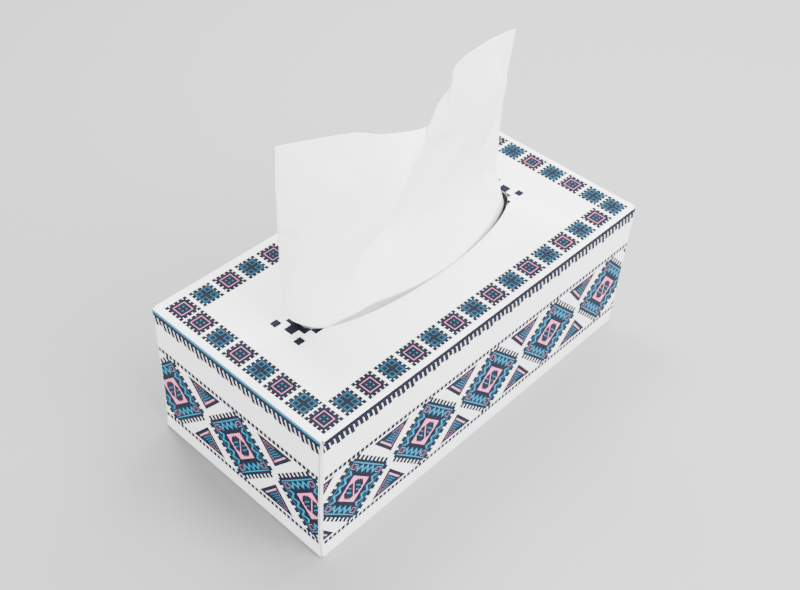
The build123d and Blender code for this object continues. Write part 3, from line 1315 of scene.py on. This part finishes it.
@dataclass(frozen=True)
class RaisedSheet(TissueSheet):
    """The sheet that stands ready: tucked half under the panel, raised half over the slot; in mm.

    Each guide runs from the slot's rim up to the sheet's leading edge, and the guides follow each
    other from the sheet's left edge to its right edge. Each bend station has the share of the tucked
    half's spread that is left there, its distance behind the rim as a share of the bend, and its
    share of the way up from the tucked level to the rim.
    """

    name: str = "raised_sheet"
    node: str = "raised_tissue"
    tucked_rows: int = 36
    raised_rows: int = 176
    fade_start: float = 1.5
    fade_in: float = 9.0
    bend_stations: tuple[tuple[float, float, float], ...] = (
        (0.75, 1.0, 0.0), (0.45, 0.3, 0.12), (0.15, -0.01, 0.6),
    )
    guides: tuple[tuple[Place, ...], ...] = (
        ((-70.5, 6, 83), (-78.5, 4, 90), (-81, 3, 99), (-80, 5.5, 112),
         (-78, 8.5, 132), (-77.5, 10, 157), (-77, 10, 180)),
        ((-71.3, 0, 83), (-77.5, -1, 89.5), (-77.5, -1, 101), (-75, -0.5, 116),
         (-70.5, 1, 135), (-65.5, 1.5, 157), (-63, 5, 179)),
        ((-66.5, -8, 83), (-72, -9.5, 89.2), (-70, -7.5, 102), (-67, -6, 117),
         (-61, -6, 136), (-50, -8, 156), (-43, -1.5, 176.4)),
        ((-57.5, -10.2, 83), (-60, -13.5, 90), (-60.5, -10.5, 103), (-60, -9.5, 117),
         (-53, -11, 134), (-37, -12, 155), (-27.5, -5, 170.3)),
        ((-50, -11.6, 83), (-51, -15.5, 90), (-51, -11, 103), (-52.5, -12.5, 117),
         (-44, -15, 134), (-22, -12.5, 151), (0.4, -5, 161.2)),
        ((-40, -12.8, 83), (-40, -16, 90), (-39.5, -8.5, 100), (-38, -5, 112),
         (-29, -5, 129), (-8, -7, 149), (5, -5.5, 170)),
        ((-26, -16.2, 83), (-25, -19, 89), (-23, -10, 100), (-19, -4.5, 109),
         (-10, -6, 125), (4, -7.7, 147), (13.2, -6.5, 178.5)),
        ((-8, -18.9, 83), (-7, -21, 88), (-5, -13.5, 98), (0, -5.5, 107),
         (6, -6.5, 125), (12.8, -7.5, 161), (13.2, -7.3, 188)),
        ((12, -18.7, 83), (13, -21, 87.5), (14.5, -13.5, 98), (18, -5.5, 108),
         (23, -6.5, 127), (27, -9.5, 158), (26, -8, 192)),
        ((34, -15, 83), (34.5, -16.5, 86.5), (36, -9.5, 98), (38, -4.5, 107),
         (41, -5.5, 128), (45, -7.5, 158), (50, -5, 189)),
        ((53, -9.5, 83), (53, -10.5, 86), (54, -6, 99), (54.5, -3, 110),
         (55, -3.5, 130), (57, -3.5, 157), (58, -2, 186)),
        ((69.2, -2.2, 83), (67.3, -2.5, 87), (64, -0.5, 103), (63, 0, 115),
         (62, 0, 131), (63, 0, 157), (65, 0, 183)),
        ((70, 4.2, 83), (69, 4.2, 89), (67.5, 4, 103), (66, 3, 115),
         (64.5, 2, 131), (65, 1.5, 157), (66.5, 1, 182)),
    )
    folds: tuple[Fold, ...] = (
        Fold(((-6, 167), (-12, 161), (-24, 152.5), (-33, 146), (-41.5, 138.5), (-46.5, 131),
              (-50, 124)), 3.3, 2.0, 10.0, power=1.2, fade=16.0),
        Fold(((-20, 156), (-24, 152.5), (-33, 146), (-41.5, 138.5), (-47, 130), (-51, 120),
              (-54, 109)), 1.3, 0.9, 2.2, fade=10.0),
        Fold(((-80, 134), (-72, 146), (-60, 155), (-48, 161)), 2.6, 9.0, 9.0, fade=10.0),
        Fold(((14, 157), (6, 138), (-2, 126), (-11, 117), (-21, 110), (-32, 103)), -3.0, 12.0, 7.0),
        Fold(((5, 119), (0, 115), (-7, 109), (-10, 103)), 0.9, 4.0, 3.0, power=1.3, fade=6.0),
        Fold(((44, 182), (41.5, 168), (39.5, 156), (38, 144), (37, 130)), 3.6, 1.8, 9.0, power=1.1),
        Fold(((50, 182), (52, 160), (53, 140), (52, 125)), -2.0, 5.0, 5.0),
        Fold(((60, 92), (46, 105), (36, 112)), 1.2, 4.0, 3.0, power=1.3, fade=8.0),
        Fold(((66, 94), (56, 106), (50, 118)), -1.3, 4.0, 4.0, fade=8.0),
        Fold(((-20, 172), (-34, 160), (-42, 146)), 1.4, 7.0, 6.0),
        Fold(((20, 150), (16, 132), (8, 118)), 1.6, 6.0, 5.0),
        Fold(((30, 140), (24, 120), (20, 104)), -1.4, 6.0, 6.0),
    )

    def surface(self) -> np.ndarray:
        """Works out the whole sheet, from its tucked edge to its leading edge.

        Each guide is carried on below the rim: down the bend, drawing apart, and back under the panel
        to the tucked edge, where the guides are spread over the sheet's width. Smooth curves run
        through the points of each guide, and others across the guides through what those curves give.

        Returns:
            Points in mm, rows up the sheet and columns across it.
        """
        raised = np.array(self.guides, dtype=float)
        count = len(raised)
        spread = np.linspace(-0.5, 0.5, count) * self.sheet_width
        rim_x, rim_y = raised[:, 0, 0], raised[:, 0, 1]
        drop = self.rim_level - self.tucked_level
        run = self.trailing - rim_y - self.tuck_bend
        level = np.full(count, self.tucked_level)
        drawn = spread - rim_x
        tucked = [(spread, np.full(count, self.trailing), level), (spread, self.trailing - run / 2, level)]
        tucked += [
            (rim_x + apart * drawn, rim_y + behind * self.tuck_bend, level + risen * drop)
            for apart, behind, risen in self.bend_stations
        ]
        lines = np.concatenate([np.array(tucked).transpose(2, 0, 1), raised], axis=1)
        rim = float(len(tucked))
        up = np.concatenate([
            np.linspace(0, rim, self.tucked_rows, endpoint=False),
            np.linspace(rim, lines.shape[1] - 1, self.raised_rows),
        ])
        rows = through_points(lines.swapaxes(0, 1), up)
        across = np.linspace(0, count - 1, self.columns)
        return through_points(rows.swapaxes(0, 1), across).swapaxes(0, 1)

    def folded(self, points: np.ndarray) -> np.ndarray:
        """Lifts the raised half by its folds and waves, along the sheet's own normals.

        All the lifts fade in over the first millimetres above the slot.

        Args:
            points: the grid of points.

        Returns:
            The grid with its folds.
        """
        along, up = points[..., 0], points[..., 2]
        lift = sum([fold.lift(along, up) for fold in self.folds] + Waves().lifts(along, up))
        shown = eased((up - self.rim_level - self.fade_start) / self.fade_in)
        return points + grid_normals(points) * (lift * shown)[..., None]

    def build(self, finish: Material) -> Object:
        """Builds the sheet with its folds, in the tissue's material."""
        return self.put_in(self.folded(self.surface()), finish, ["next_sheet"])


@dataclass(frozen=True)
class NextSheet(TissueSheet):
    """The sheet folded round the raised one's tucked half: a leaf below it, a leaf over it; in mm."""

    name: str = "next_sheet"
    node: str = "next_tissue"
    columns: int = 120
    lower_rows: int = 60
    bend_rows: int = 8
    upper_rows: int = 60
    beyond: float = 2.0
    lower_margin: float = 3.0
    top: float = 76.6

    def build(self, raised: RaisedSheet, finish: Material) -> Object:
        """Builds the sheet from the raised one's own surface.

        The lower leaf is flat, the bend is half a circle round the raised sheet's edge, and the upper
        leaf is the raised sheet's surface moved by one leaf along its normals, up to its top.

        Args:
            raised: the sheet that it lies round.
            finish: the tissue's material.

        Returns:
            The sheet.
        """
        level, step, middle = self.tucked_level, self.leaf_step, self.trailing + self.beyond
        spread = np.linspace(-0.5, 0.5, self.columns) * self.sheet_width
        lower = np.linspace(self.lower_margin - self.stack_half_width, middle, self.lower_rows)
        turn = np.linspace(-0.5, 0.5, self.bend_rows + 2)[1:-1] * math.pi
        y = np.concatenate([lower, middle + step * np.cos(turn), [middle]])
        z = np.concatenate([np.full(len(lower), level - step), level + step * np.sin(turn), [level + step]])
        flat = np.stack(np.broadcast_arrays(spread, y[:, None], z[:, None]), axis=-1)
        coarse = replace(raised, columns=self.columns, tucked_rows=self.upper_rows, raised_rows=2)
        inside = coarse.surface()[:self.upper_rows]
        over = (inside - grid_normals(inside) * step)[inside[..., 2].max(axis=1) < self.top]
        return self.put_in(np.concatenate([flat, over]), finish, ["tissue_pile"])


# The studio


@dataclass(frozen=True)
class Lamp:
    """A soft rectangular lamp that looks at the middle of the object; sizes in metres."""

    name: str
    place: Place
    wide: float
    high: float
    power: float
    aim: Place = (0.0, 0.0, 0.06)

    def hang(self) -> None:
        """Adds the lamp to the scene."""
        data = bpy.data.lights.new(self.name, "AREA")
        data.shape = "RECTANGLE"
        data.size = self.wide
        data.size_y = self.high
        data.energy = self.power
        lamp = new_object(self.name, data)
        lamp.location = self.place
        lamp.rotation_euler = (Vector(self.aim) - lamp.location).to_track_quat("-Z", "Y").to_euler()


@dataclass(frozen=True)
class Studio:
    """Floor, light and camera; sizes in metres and degrees, and the lens in mm."""

    azimuth: float = -49.24
    elevation: float = 42.84
    roll: float = 3.67
    distance: float = 0.6653
    target: Place = (0.04253, 0.04124, 0.0)
    lens: float = 51.43
    floor_size: float = 2.0
    surround: float = 2.1
    lamps: tuple[Lamp, ...] = (
        Lamp("overhead right", (0.6, 0.1, 0.9), 0.8, 0.8, 31.0),
        Lamp("overhead back", (0.1, 0.5, 0.9), 0.3, 0.3, 16.0),
        Lamp("overhead front", (0.1, -0.7, 0.9), 0.8, 0.8, 39.0),
        Lamp("front", (0.0, -1.5, 0.12), 1.6, 0.2, 26.0),
        Lamp("left", (-1.5, 0.0, 0.12), 1.6, 0.2, 44.0),
    )

    def build(self) -> None:
        """Makes the floor, the lamps, the backdrop and the camera."""
        corners = np.array([[-1, -1, 0], [1, -1, 0], [1, 1, 0], [-1, 1, 0]]) * (self.floor_size / 2)
        floor = new_piece("floor", corners, np.array([[0, 1, 2, 3]]))
        floor.data.materials.append(PaleFloor().make())
        for lamp in self.lamps:
            lamp.hang()
        self.backdrop()
        self.camera()

    def backdrop(self) -> None:
        """Sets a pale backdrop past the floor, which the camera sees and which lights nothing."""
        world = bpy.data.worlds.new("studio")
        world.use_nodes = True
        tree = world.node_tree
        background = tree.nodes["Background"]
        background.inputs["Color"].default_value = (1, 1, 1, 1)
        path = tree.nodes.new("ShaderNodeLightPath")
        strength = Formula(tree, path.outputs["Is Camera Ray"]) * self.surround
        feed(tree, strength, background.inputs["Strength"])
        bpy.context.scene.world = world

    def camera(self) -> None:
        """Sets the camera where the photograph was taken from, and turns it by its roll."""
        around, over, roll = (math.radians(angle) for angle in (self.azimuth, self.elevation, self.roll))
        level = math.cos(over)
        back = Vector((math.sin(around) * level, -math.cos(around) * level, math.sin(over)))
        right = (-back).cross(Vector((0, 0, 1))).normalized()
        up = right.cross(-back)
        turned_right = right * math.cos(roll) + up * math.sin(roll)
        turned_up = up * math.cos(roll) - right * math.sin(roll)
        data = bpy.data.cameras.new("camera")
        data.lens = self.lens
        camera = new_object("camera", data)
        turn = Matrix((turned_right, turned_up, back)).transposed()
        place = Vector(self.target) + back * self.distance
        camera.matrix_world = Matrix.Translation(place) @ turn.to_4x4()
        bpy.context.scene.camera = camera


def main() -> None:
    """Builds every piece in order."""
    logging.basicConfig(level=logging.INFO, format="%(message)s")
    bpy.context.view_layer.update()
    grain = Grain().group()
    carton = PrintedCarton().build(grain)
    log.info("%s: %d faces", carton.name, len(carton.data.polygons))
    tissue = CrepedTissue().make(grain)
    raised = RaisedSheet()
    for piece in (TissuePile().build(tissue), NextSheet().build(raised, tissue), raised.build(tissue)):
        log.info("%s: %d faces", piece.name, len(piece.data.polygons))
    Studio().build()


if __name__ == "__main__":
    main()
